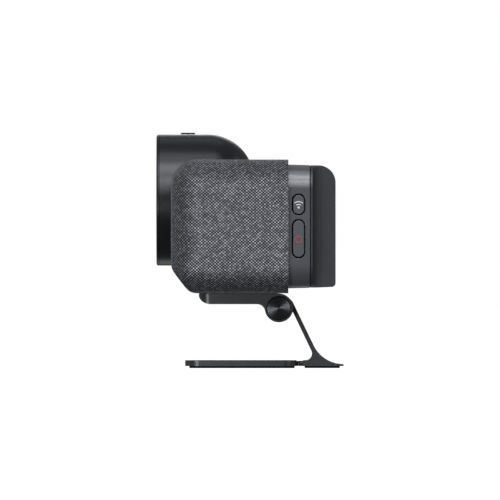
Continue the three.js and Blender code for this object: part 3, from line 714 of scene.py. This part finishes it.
def make_drum():
    front = DRUM.y0
    edge = 0.12
    outside = drum_profile(0, front + edge)
    inside = drum_profile(-DRUM_WALL, front)
    profile = [(DRUM_RADIUS - edge, front)] + outside + inside[::-1]
    drum = turned("drum_shell", profile, "Y", (0, DRUM_Z), 160)
    reach = SHUTTER_TRAVEL / 2 + STEM_HALF_WIDTH + 0.3
    depth = STEM_HALF_DEPTH + 0.12
    slot = rounded(-reach, STEM_Y - depth, reach, STEM_Y + depth, depth * 0.95, 8)
    cut(drum, prism("slot", slot, "Z", DRUM.z1 - 12, DRUM.z1 + 5))
    add_piece(drum, "speaker", "drum_plastic", ["camera_drum"])


def make_bezel():
    """The ring round the window; a shallow groove marks its joint with the drum."""
    inner = WINDOW.x1 + 0.3
    front = BEZEL.y0
    rear = DRUM.y0 - 0.03
    groove = 0.14
    lip = 2.3
    round_over = 1.2
    profile = arc(DRUM_RADIUS - round_over, front + 0.85, round_over, -90, 0, 10, 0.85)
    profile += [(DRUM_RADIUS, rear - groove), (DRUM_RADIUS - groove, rear), (DRUM_RADIUS - lip, rear)]
    profile += [(DRUM_RADIUS - lip, BEZEL.y1), (inner, BEZEL.y1)]
    profile += [(inner, front + 0.3), (inner + 0.3, front)]
    bezel = turned("bezel_ring", profile, "Y", (0, DRUM_Z), 160)
    add_piece(bezel, "speaker", "drum_plastic", ["camera_bezel"], smooth=50)


def make_window():
    edge = 0.3
    radius = WINDOW.x1
    front = WINDOW.y0
    rear = WINDOW.y1
    profile = [(0, front), (radius - edge, front), (radius, front + edge), (radius, rear), (0, rear)]
    window = turned("window_disc", profile, "Y", (0, DRUM_Z), 128)
    add_piece(window, "speaker", "window_glass", ["camera_window"])


def make_baffle():
    """The baffle behind the window: rings that step down to the lens, and a hole for the status light."""
    shroud = Span("lens_shroud")
    light = Span("status_light")
    aperture = 4.6
    wall = 1.5
    steps = 7
    step_depth = 0.35
    rim = shroud.x1
    run = rim - wall - aperture
    drop = shroud.y1 - wall - shroud.y0
    profile = [(rim, shroud.y0), (rim, shroud.y0 + wall), (9.0, shroud.y1), (aperture, shroud.y1)]
    for step in range(steps):
        radius = aperture + run * step / steps
        depth = shroud.y1 - 1.0 - drop * step / steps
        profile += [(radius, depth), (radius + run / steps * 0.75, depth - step_depth)]
    profile.append((rim - wall, shroud.y0))
    baffle = turned("lens_baffle", profile, "Y", (0, DRUM_Z), 128)
    start = light.y0 - 3
    stop = light.y1 + 9
    hole = [(0, start), (1.5, start), (1.5, stop), (0, stop)]
    cut(baffle, turned("hole", hole, "Y", (light.x, light.z), 32))
    add_piece(baffle, "speaker", "black_plastic", ["lens_shroud"])


def make_status_light():
    light = Span("status_light")
    radius = light.x1 - light.x
    dome = arc(0, light.y0 + radius, radius, -90, 0, 8)
    lamp = turned("light_pipe", dome + [(radius, light.y1), (0, light.y1)], "Y", (light.x, light.z), 32)
    add_piece(lamp, "speaker", "light_diffuser", ["status_light"])


def make_front_element():
    """The lens: a domed front with the given rise over a flat rear."""
    lens = Span("lens")
    radius = lens.x1
    rise = 3.0
    curve = (radius ** 2 + rise ** 2) / (2 * rise)
    reach = math.degrees(math.asin(radius / curve))
    dome = arc(0, lens.y0 + curve, curve, -90, -90 + reach, 14)
    element = turned("front_element", dome + [(radius, lens.y1), (0, lens.y1)], "Y", (0, DRUM_Z), 64)
    add_piece(element, "speaker", "lens_glass", ["lens"])


def make_knob():
    """The shutter's knob over the drum, with grip grooves across it."""
    top = SHUTTER.z1
    low_y = SHUTTER.y0
    high_y = SHUTTER.y1
    outline = rounded(KNOB_X - KNOB_HALF, low_y, KNOB_X + KNOB_HALF, high_y, 1.0, 6)
    knob = prism("shutter_knob", outline, "Z", DRUM.z1 + KNOB_LIFT, top)
    grooves = []
    for index in range(5):
        x = KNOB_X + (index - 2) * 1.1
        groove = rounded(x - 0.2, low_y + 1, x + 0.2, high_y - 1, 0.19, 4)
        grooves.append(prism("groove", groove, "Z", top - 0.25, top + 1))
    cut(knob, *grooves)
    soften(knob, 0.12, 2)
    add_piece(knob, "shutter", "black_plastic", ["shutter_slider"])


def make_carrier():
    """The stem that goes down from the knob through the slot, and the bar that carries the blade."""
    low_y = STEM_Y - STEM_HALF_DEPTH
    high_y = STEM_Y + STEM_HALF_DEPTH
    outline = rounded(KNOB_X - STEM_HALF_WIDTH, low_y, KNOB_X + STEM_HALF_WIDTH, high_y, 0.2, 4)
    stem = prism("shutter_carrier", outline, "Z", SHUTTER.z0 + 0.5, DRUM.z1 + KNOB_LIFT + 0.2)
    bar = rounded(SHUTTER.x0, CARRIER_FRONT, KNOB_X + 3, CARRIER_REAR, 0.8, 4)
    join(stem, prism("carrier_bar", bar, "Z", SHUTTER.z0, SHUTTER.z0 + 2))
    soften(stem, 0.15, 2)
    add_piece(stem, "shutter", "black_plastic")


# ---- Rear housing, buttons and cover ------------------------------------------------------------


def housing_section(inset):
    """The housing's outline as (X, Z), drawn in from the sleeve's by inset."""
    low_x = SLEEVE.x0 + inset
    high_x = SLEEVE.x1 - inset
    return rounded(low_x, SLEEVE.z0 + inset, high_x, SLEEVE.z1 - inset, CORNER - inset / 3, 14)


def button_outline(button, margin):
    half = BUTTON_WIDTH / 2 + margin
    return rounded(button.y - half, button.z0 - margin, button.y + half, button.z1 + margin, half, 12)


def make_housing():
    """A cup that opens to the rear, where the cover closes it, with a slot for each button."""
    front = SLEEVE.y1 - 2
    rear = HOUSING.y1
    edge = 0.35
    inside = HOUSING_REAR_INSET + HOUSING_WALL
    stages = [
        (front, HOUSING_INSET),
        (rear - edge, HOUSING_REAR_INSET),
        (rear - edge * 0.3, HOUSING_REAR_INSET + edge * 0.3),
        (rear, HOUSING_REAR_INSET + edge),
        (rear, inside),
        (front + 3.5, inside),
    ]
    rings = [[(u, y, v) for u, v in housing_section(inset)] for y, inset in stages]
    housing = closed_loft("housing_shell", rings)
    slots = []
    for name in BUTTON_NAMES:
        button = Span(name)
        outline = button_outline(button, BUTTON_GROOVE)
        slots.append(prism("slot", outline, "X", button.x0 - 3, button.x1 + 5))
    cut(housing, *slots)
    soften(housing, 0.22, 2, 50)
    add_piece(housing, "speaker", "housing_plastic", ["rear_housing"])


def make_buttons():
    for name in BUTTON_NAMES:
        button = Span(name)
        cap = prism(f"{name}_cap", button_outline(button, 0), "X", button.x0, button.x1 - BUTTON_RECESS)
        soften(cap, 0.3, 3, 50)
        add_piece(cap, name, "button_plastic", [name])


def ring_part(centre_y, centre_z, radius, width, start, end):
    """A stretch of ring with square ends, as a (Y, Z) outline."""
    outer = arc(centre_y, centre_z, radius + width / 2, start, end, 24)
    inner = arc(centre_y, centre_z, radius - width / 2, end, start, 24)
    return outer + inner


def make_symbol(name, button_name, outlines, ink):
    """A printed symbol: thin flat shapes on the cap's face."""
    button = Span(button_name)
    face = button.x1 - BUTTON_RECESS
    symbol = None
    for outline in outlines:
        placed = [(button.y + u, button.z + v) for u, v in outline]
        shape = prism(name, placed, "X", face - 0.02, face + 0.035)
        symbol = join(symbol, shape) if symbol else shape
    add_piece(symbol, button_name, "button_plastic", material=ink)


def make_symbols():
    stroke = 0.42
    low = -1.5
    waves = [ring_part(0, low, radius, stroke, 48, 132) for radius in (1.6, 2.85)]
    dot = circle(0, low + 0.2, 0.5, 24)
    make_symbol("wireless_symbol", "wireless_button", [*waves, dot], WHITE_INK)
    ring = ring_part(0, -0.1, 1.5, stroke, 125, 415)
    bar = rounded(-stroke / 2, 0.35, stroke / 2, 1.95, 0.1, 3)
    make_symbol("power_symbol", "power_button", [ring, bar], RED_INK)


def cover_block():
    """The cover's side outline along X, cut to its plan outline along Z."""
    front = COVER.y0
    rear = COVER.y1
    top_radius = 8.0
    low_radius = 1.8
    low = COVER.z0 - 0.1
    side = [(front, low)]
    side += arc(rear - low_radius, COVER.z0 + 0.3 + low_radius, low_radius, -90, 0, 8)
    side += arc(rear - top_radius, COVER.z1 - top_radius, top_radius, 0, 90, 16)
    side.append((front, COVER.z1))
    flange = SLEEVE.x1
    flange_y = front + COVER_FLANGE
    right = arc(COVER_HALF + COVER_COVE, flange_y + COVER_COVE, COVER_COVE, -90, -180, 12)
    left = [(-u, v) for u, v in reversed(right)]
    plan = [(-flange, front), (flange, front), (flange, flange_y)] + right
    plan += [(COVER_HALF, rear), (-COVER_HALF, rear)] + left + [(-flange, flange_y)]
    block = prism("cover_shell", side, "X", SLEEVE.x0, SLEEVE.x1)
    return common(block, prism("plan", plan, "Z", SLEEVE.z0, SLEEVE.z1))


def make_cover():
    """The raised back, cut to the housing's outline, with holes for the screws and the sockets."""
    rear = COVER.y1
    cover = cover_block()
    common(cover, prism("outline", housing_section(HOUSING_REAR_INSET + 0.1), "Y", COVER.y0, rear + 5))
    cutters = []
    for name in SCREW_NAMES:
        screw = Span(name)
        hole = circle(screw.x, screw.z, screw.x1 - screw.x + 0.35, 48)
        cutters.append(prism("counterbore", hole, "Y", rear - 2.2, rear + 2))
    room = 0.25
    for name in SOCKET_NAMES:
        port = Span(name)
        mouth = rounded(port.x0 - room, port.z0 - room, port.x1 + room, port.z1 + room, 1.75, 8)
        cutters.append(prism("mouth", mouth, "Y", rear - 6, rear + 2))
    jack = Span("audio_jack")
    mouth = circle(jack.x, jack.z, jack.x1 - jack.x + room, 48)
    cutters.append(prism("mouth", mouth, "Y", rear - 6, rear + 2))
    cut(cover, *cutters)
    soften(cover, 0.25, 3, 40)
    # The cover takes the darker copy of the housing's plastic, whose darker grey is painted shade.
    add_piece(cover, "speaker", "housing_plastic", ["rear_cover"], material=COVER_SHADED_PLASTIC)


def make_cover_screws():
    """Round-headed screws with a hexagon socket."""
    shank = 1.4
    head = 1.5
    edge = 0.5
    for name in SCREW_NAMES:
        screw = Span(name)
        radius = screw.x1 - screw.x
        face = screw.y1
        profile = [(0, screw.y0), (shank, screw.y0), (shank, face - head), (radius, face - head)]
        profile += arc(radius - edge, face - edge, edge, 0, 90, 6) + [(0, face)]
        piece = turned(f"{name}_turned", profile, "Y", (screw.x, screw.z), 48)
        cut(piece, prism("socket", circle(screw.x, screw.z, 1.3, 6), "Y", face - 1.1, face + 1))
        add_piece(piece, "speaker", "bright_steel", [name], smooth=35)


def make_sockets():
    """Two oval metal sockets, each with its flat tongue."""
    wall = 0.32
    for name in SOCKET_NAMES:
        port = Span(name)
        outline = rounded(port.x0, port.z0, port.x1, port.z1, 1.5, 10)
        shell = prism(f"{name}_shell", outline, "Y", port.y0, port.y1)
        hole = rounded(port.x0 + wall, port.z0 + wall, port.x1 - wall, port.z1 - wall, 1.2, 10)
        cut(shell, prism("hole", hole, "Y", port.y0 + 1.5, port.y1 + 1))
        add_piece(shell, "speaker", "bright_steel", [name])
        outline = rounded(port.x - 3.3, port.z - 0.35, port.x + 3.3, port.z + 0.35, 0.3, 4)
        tongue = prism(f"{name}_tongue", outline, "Y", port.y0 + 1.4, port.y1 - 0.8)
        add_piece(tongue, "speaker", "black_plastic")


def make_jack():
    """A round barrel with a 3.5 mm bore."""
    jack = Span("audio_jack")
    radius = jack.x1 - jack.x
    bore = 1.75
    edge = 0.3
    rear = jack.y1
    profile = [(bore, rear - edge), (bore + edge, rear), (radius - edge, rear), (radius, rear - edge)]
    profile += [(radius, jack.y0), (0, jack.y0), (0, jack.y0 + 2), (bore, jack.y0 + 2)]
    piece = turned("audio_jack_barrel", profile, "Y", (jack.x, jack.z), 48)
    add_piece(piece, "speaker", "black_plastic", ["audio_jack"])


# ---- Arm, hinge and stand -----------------------------------------------------------------------


def arm_outline():
    """The arm from the side, as (Y, Z): a rounded nose, a flat belly and the hinge barrel."""
    fillet = 4.0
    nose_run = 5.5
    nose_rise = 4.2
    fillet_z = ARM_BOTTOM - fillet
    fillet_y = HINGE_Y - math.sqrt((BARREL + fillet) ** 2 - (HINGE_Z - fillet_z) ** 2)
    toward = math.degrees(math.atan2(fillet_z - HINGE_Z, fillet_y - HINGE_Y))
    side = [(ARM.y0, ARM.z1)]
    side += arc(ARM.y0 + nose_run, ARM_BOTTOM + nose_rise, nose_run, 180, 270, 14, nose_rise)
    side += arc(fillet_y, fillet_z, fillet, 90, toward + 180, 14)
    side += arc(HINGE_Y, HINGE_Z, BARREL, toward, 90, 48)
    side.append((HINGE_Y, ARM.z1))
    return side


def make_arm():
    """The arm, cut out for the leg's knuckle, the hinge pin, the caps and the screw."""
    far = 60
    arm = prism("arm_body", arm_outline(), "X", ARM.x0, ARM.x1)
    plan = rounded(ARM.x0, ARM.y0, ARM.x1, ARM.y1 + 30, 5.0, 14)
    common(arm, prism("plan", plan, "Z", 0, far))
    screw = Span("arm_screw")
    leg_y = HINGE_Y - 2
    leg_room = [(leg_y, 0), (far, 0), (far, far), (leg_y, far)]
    cap_room = CAP.y1 - CAP.y + 0.25
    cap_depth = 1.4
    cut(
        arm,
        rod("room", KNUCKLE + 0.3, -EAR_INNER, EAR_INNER, HINGE_Y, HINGE_Z),
        prism("leg_room", leg_room, "X", -EAR_INNER, EAR_INNER),
        rod("bore", PIN_HOLE, ARM.x0 - 5, ARM.x1 + 5, HINGE_Y, HINGE_Z),
        rod("recess_right", cap_room, ARM.x1 - cap_depth, ARM.x1 + 5, HINGE_Y, HINGE_Z),
        rod("recess_left", cap_room, ARM.x0 - 5, ARM.x0 + cap_depth, HINGE_Y, HINGE_Z),
        post("screw_recess", 5.8, ARM_BOTTOM - 1, ARM_BOTTOM + 2.6, screw.x, screw.y),
        post("screw_hole", 3.5, ARM_BOTTOM, ARM.z1 + 5, screw.x, screw.y),
    )
    soften(arm, 0.3, 3, 35)
    add_piece(arm, "speaker", "stand_coating", ["mount_arm"])


def make_seat():
    """The thin rubber seat that fills the gap between the arm and the cloth above it."""
    margin = 0.4
    gap = 0.01
    plan = rounded(ARM.x0 + margin, ARM.y0 + margin, ARM.x1 - margin, HINGE_Y - margin, 4.6, 14)
    seat = prism("arm_seat", plan, "Z", ARM.z1 - gap, SLEEVE.z0 - gap)
    insert = Span("threaded_insert")
    radius = insert.x1 - insert.x + 0.3
    cut(seat, post("insert_room", radius, ARM.z1 - 1, SLEEVE.z0 + 1, insert.x, insert.y))
    add_piece(seat, "speaker", "pad_rubber")


def make_hinge_caps():
    """Discs with a flat rim and fine concentric steps toward the middle."""
    edge = 0.3
    rim = 0.5
    relief = 0.012
    steps = 7
    for side, sign in (("left", -1), ("right", 1)):
        cap = Span(f"{side}_hinge_cap")
        radius = cap.y1 - cap.y
        inner, outer = (cap.x0, cap.x1) if sign > 0 else (cap.x1, cap.x0)
        profile = [(0, inner), (radius, inner), (radius, outer - sign * edge), (radius - edge, outer)]
        for step in range(steps):
            reach = (radius - rim) * (1 - step / steps)
            profile += [(reach, outer - sign * relief), (reach - edge, outer)]
        profile.append((0, outer))
        disc = turned(f"{side}_cap_disc", profile, "X", (cap.y, cap.z), 128)
        add_piece(disc, "speaker", "cap_metal", [f"{side}_hinge_cap"], smooth=60)


def leg_outline():
    """The leg from the side, as (Y, Z): the knuckle, a straight sloping plate and the flared heel."""
    slope = math.radians(LEG_SLOPE)
    normal = Vector((math.sin(slope), math.cos(slope)))
    down = Vector((math.cos(slope), -math.sin(slope)))
    outer = 6.95
    inner = 5.0
    turn = 90 - LEG_SLOPE
    flare = 15.2
    flare_z = 16.84
    fillet = 3.0
    fillet_z = FOOT.z1 + fillet
    fillet_y = HINGE_Y + (inner - fillet - (fillet_z - HINGE_Z) * normal.y) / normal.x
    meet = normal * inner + down * math.sqrt(KNUCKLE ** 2 - inner ** 2)
    meet_angle = math.degrees(math.atan2(meet.y, meet.x))
    toe_y = FOLD_Y + 1.5
    outline = [tuple(Vector((HINGE_Y, HINGE_Z)) + normal * outer)]
    outline += arc(LEG.y1, flare_z, flare, 180 + turn, 270, 24)
    outline += [(LEG.y1, LEG.z0 + 0.2), (LEG.y1 - 0.3, LEG.z0), (toe_y, LEG.z0), (toe_y, FOOT.z1)]
    outline += arc(fillet_y, fillet_z, fillet, -90, turn, 14)
    outline += arc(HINGE_Y, HINGE_Z, KNUCKLE, meet_angle, 45 - 360, 48)
    return outline


def fold_knuckle(name, x0, x1, toward_y):
    """A knuckle of the fold hinge, with a web that joins it to the plate at toward_y."""
    radius = FOLD_Z - FOOT.z0
    top = FOLD_Z + radius
    web = [(FOLD_Y, FOOT.z0), (toward_y, FOOT.z0), (toward_y, top), (FOLD_Y, top)]
    knuckle = rod(name, radius, x0, x1, FOLD_Y, FOLD_Z, 32)
    return join(knuckle, prism("web", web, "X", x0, x1))


def pad_outline(pad, radius, margin=0.0):
    return rounded(pad.x0 - margin, pad.y0 - margin, pad.x1 + margin, pad.y1 + margin, radius, 10)


def make_leg():
    leg = prism("leg_body", leg_outline(), "X", LEG.x0, LEG.x1)
    plan = rounded(LEG.x0, -60, LEG.x1, LEG.y1, STAND_CORNER, 14)
    common(leg, prism("plan", plan, "Z", -5, 60))
    gap = 0.3
    join(
        leg,
        fold_knuckle("left_knuckle", -FOLD_HALF, -FOLD_MIDDLE - gap, FOLD_Y + 2.5),
        fold_knuckle("right_knuckle", FOLD_MIDDLE + gap, FOLD_HALF, FOLD_Y + 2.5),
    )
    pocket = pad_outline(HEEL_PAD, 4.0, PAD_ROOM)
    cut(
        leg,
        rod("bore", PIN_HOLE, LEG.x0 - 5, LEG.x1 + 5, HINGE_Y, HINGE_Z),
        rod("fold_bore", FOLD_PIN_HOLE, LEG.x0 - 5, LEG.x1 + 5, FOLD_Y, FOLD_Z, 24),
        prism("pocket", pocket, "Z", -1, LEG.z0 + PAD_SEAT),
    )
    soften(leg, 0.25, 2, 40)
    add_piece(leg, "stand", "stand_coating", ["stand_leg"])


def foot_plan(rear):
    """The foot plate from above, as (X, Y), with a slightly bowed front edge."""
    bow = 0.6
    inner_x = FOOT.x1 - STAND_CORNER
    front = FOOT.y0
    front_y = front + bow + STAND_CORNER
    rear_y = rear - STAND_CORNER
    swell = (inner_x ** 2 + bow ** 2) / (2 * bow)
    half = math.degrees(math.asin(inner_x / swell))
    plan = arc(0, front + swell, swell, -90 - half, -90 + half, 16)
    plan += arc(inner_x, front_y, STAND_CORNER, -88, 0, 12)
    plan += arc(inner_x, rear_y, STAND_CORNER, 0, 90, 12)
    plan += arc(-inner_x, rear_y, STAND_CORNER, 90, 180, 12)
    plan += arc(-inner_x, front_y, STAND_CORNER, 180, 268, 12)
    return plan


def make_foot():
    rear = FOLD_Y - 1.5
    foot = prism("foot_plate", foot_plan(rear), "Z", FOOT.z0, FOOT.z1)
    join(foot, fold_knuckle("middle_knuckle", -FOLD_MIDDLE, FOLD_MIDDLE, rear - 1))
    pocket = pad_outline(FOOT_PAD, 4.5, PAD_ROOM)
    cut(
        foot,
        rod("fold_bore", FOLD_PIN_HOLE, -40, 40, FOLD_Y, FOLD_Z, 24),
        prism("pocket", pocket, "Z", -1, FOOT.z0 + PAD_SEAT),
    )
    soften(foot, 0.3, 3, 40)
    add_piece(foot, "foot", "stand_coating", ["front_foot"])


def make_pads():
    for name, pad, body, radius in (
        ("front_pad", FOOT_PAD, "foot", 4.5),
        ("heel_pad", HEEL_PAD, "stand", 4.0),
    ):
        piece = prism(f"{name}_rubber", pad_outline(pad, radius), "Z", 0, pad.z1)
        soften(piece, 0.15, 2, 40)
        add_piece(piece, body, "pad_rubber", [name])


def make_fold_pin():
    radius = FOLD_PIN.z1 - FOLD_Z
    pin = rod("fold_pin_rod", radius, FOLD_PIN.x0, FOLD_PIN.x1, FOLD_Y, FOLD_Z, 24)
    add_piece(pin, "stand", "bright_steel", ["fold_pin"], material=LOOKS["stand_coating"])


for make in (
    make_sleeve,
    make_drum,
    make_bezel,
    make_window,
    make_baffle,
    make_status_light,
    make_front_element,
    make_knob,
    make_carrier,
    make_housing,
    make_buttons,
    make_symbols,
    make_cover,
    make_cover_screws,
    make_sockets,
    make_jack,
    make_arm,
    make_seat,
    make_hinge_caps,
    make_leg,
    make_foot,
    make_pads,
    make_fold_pin,
):
    make()

# ---- Studio -------------------------------------------------------------------------------------

# The object's middle, which the lights face, and the level of the floor, in metres.
TARGET = Vector((0, 0, 0.06))
FLOOR_LEVEL = -0.08

COOL_WHITE = (0.94, 0.955, 1.0)

# Name, azimuth from +X toward +Y, elevation, width and height in degrees, watts, and distance in metres.
PANELS = [
    ("key", 0, 58, 44, 20, 17.5, 2.0),
    ("key_top", 0, 82, 40, 16, 4, 2.0),
    ("high_front", 0, 35, 40, 14, 11, 2.0),
    ("low_front", 0, 20, 34, 10, 3.5, 2.0),
    ("left_near", -22, -9, 18, 14, 0.6, 0.55),
    ("right_high", 32, 24, 24, 24, 1.5, 2.0),
    ("right", 48, 2, 24, 30, 1.8, 2.0),
    ("back_top", 180, 16, 20, 10, 1.3, 2.0),
    ("front_fill", -105, 22, 40, 40, 4, 2.0),
    ("rear_fill", 105, 22, 40, 40, 4, 2.0),
    ("back_high", 180, 50, 30, 24, 0.6, 2.0),
    ("under_back", 180, -38, 30, 20, 1.2, 2.0),
]


def make_panel(name, azimuth, elevation, width, height, power, distance):
    """A soft rectangular light that faces the object and isn't itself in the picture."""
    turn = math.radians(azimuth)
    rise = math.radians(elevation)
    data = bpy.data.lights.new(name, "AREA")
    data.shape = "RECTANGLE"
    data.size = 2 * distance * math.tan(math.radians(width) / 2)
    data.size_y = 2 * distance * math.tan(math.radians(height) / 2)
    data.energy = power
    data.color = COOL_WHITE
    light = bpy.data.objects.new(name, data)
    bpy.context.scene.collection.objects.link(light)
    toward = Vector((math.cos(turn) * math.cos(rise), math.sin(turn) * math.cos(rise), math.sin(rise)))
    light.location = TARGET + toward * distance
    light.rotation_euler = toward.to_track_quat("Z", "Y").to_euler()
    light.visible_camera = False


def make_floor():
    """A plain white floor, low enough that the foot stays in sight when it folds down below the desk.

    It is bright in itself, and throws no light or shadow on the object.
    """
    bm = bmesh.new()
    bmesh.ops.create_circle(bm, cap_ends=True, segments=96, radius=40)
    mesh = bpy.data.meshes.new("floor")
    bm.to_mesh(mesh)
    bm.free()
    floor = bpy.data.objects.new("floor", mesh)
    floor.location.z = FLOOR_LEVEL
    bpy.context.scene.collection.objects.link(floor)
    nodes = Nodes("floor_white")
    nodes.set(
        Base_Color=(0.9, 0.9, 0.9, 1),
        Roughness=0.9,
        Emission_Color=(1, 1, 1, 1),
        Emission_Strength=1.0,
    )
    mesh.materials.append(nodes.material)
    floor.visible_diffuse = False
    floor.visible_glossy = False
    floor.visible_shadow = False


def make_world(ambient):
    """White where the camera looks past the object, and a dim even light on the object itself."""
    world = bpy.data.worlds.new("studio")
    bpy.context.scene.world = world
    world.use_nodes = True
    tree = world.node_tree
    dim = tree.nodes["Background"]
    dim.inputs["Color"].default_value = (*COOL_WHITE, 1)
    dim.inputs["Strength"].default_value = ambient
    bright = tree.nodes.new("ShaderNodeBackground")
    bright.inputs["Color"].default_value = (1, 1, 1, 1)
    bright.inputs["Strength"].default_value = 1.0
    path = tree.nodes.new("ShaderNodeLightPath")
    mix = tree.nodes.new("ShaderNodeMixShader")
    tree.links.new(path.outputs["Is Camera Ray"], mix.inputs[0])
    tree.links.new(dim.outputs[0], mix.inputs[1])
    tree.links.new(bright.outputs[0], mix.inputs[2])
    tree.links.new(mix.outputs[0], tree.nodes["World Output"].inputs["Surface"])


def make_camera():
    """Looks along -X at the button end through a long lens, so that the bar hardly converges."""
    distance = 10.5
    frame_width = 0.2305
    height = 0.05428
    quarter_turn = math.pi / 2
    data = bpy.data.cameras.new("camera")
    data.sensor_width = 36.0
    data.lens = data.sensor_width * distance / frame_width
    data.clip_end = 60.0
    camera = bpy.data.objects.new("camera", data)
    bpy.context.scene.collection.objects.link(camera)
    camera.location = (distance, 0, height)
    camera.rotation_euler = (quarter_turn, 0, quarter_turn)
    bpy.context.scene.camera = camera


make_floor()
make_world(0.11)
make_camera()
for row in PANELS:
    make_panel(*row)

bpy.context.scene.view_settings.view_transform = "Standard"
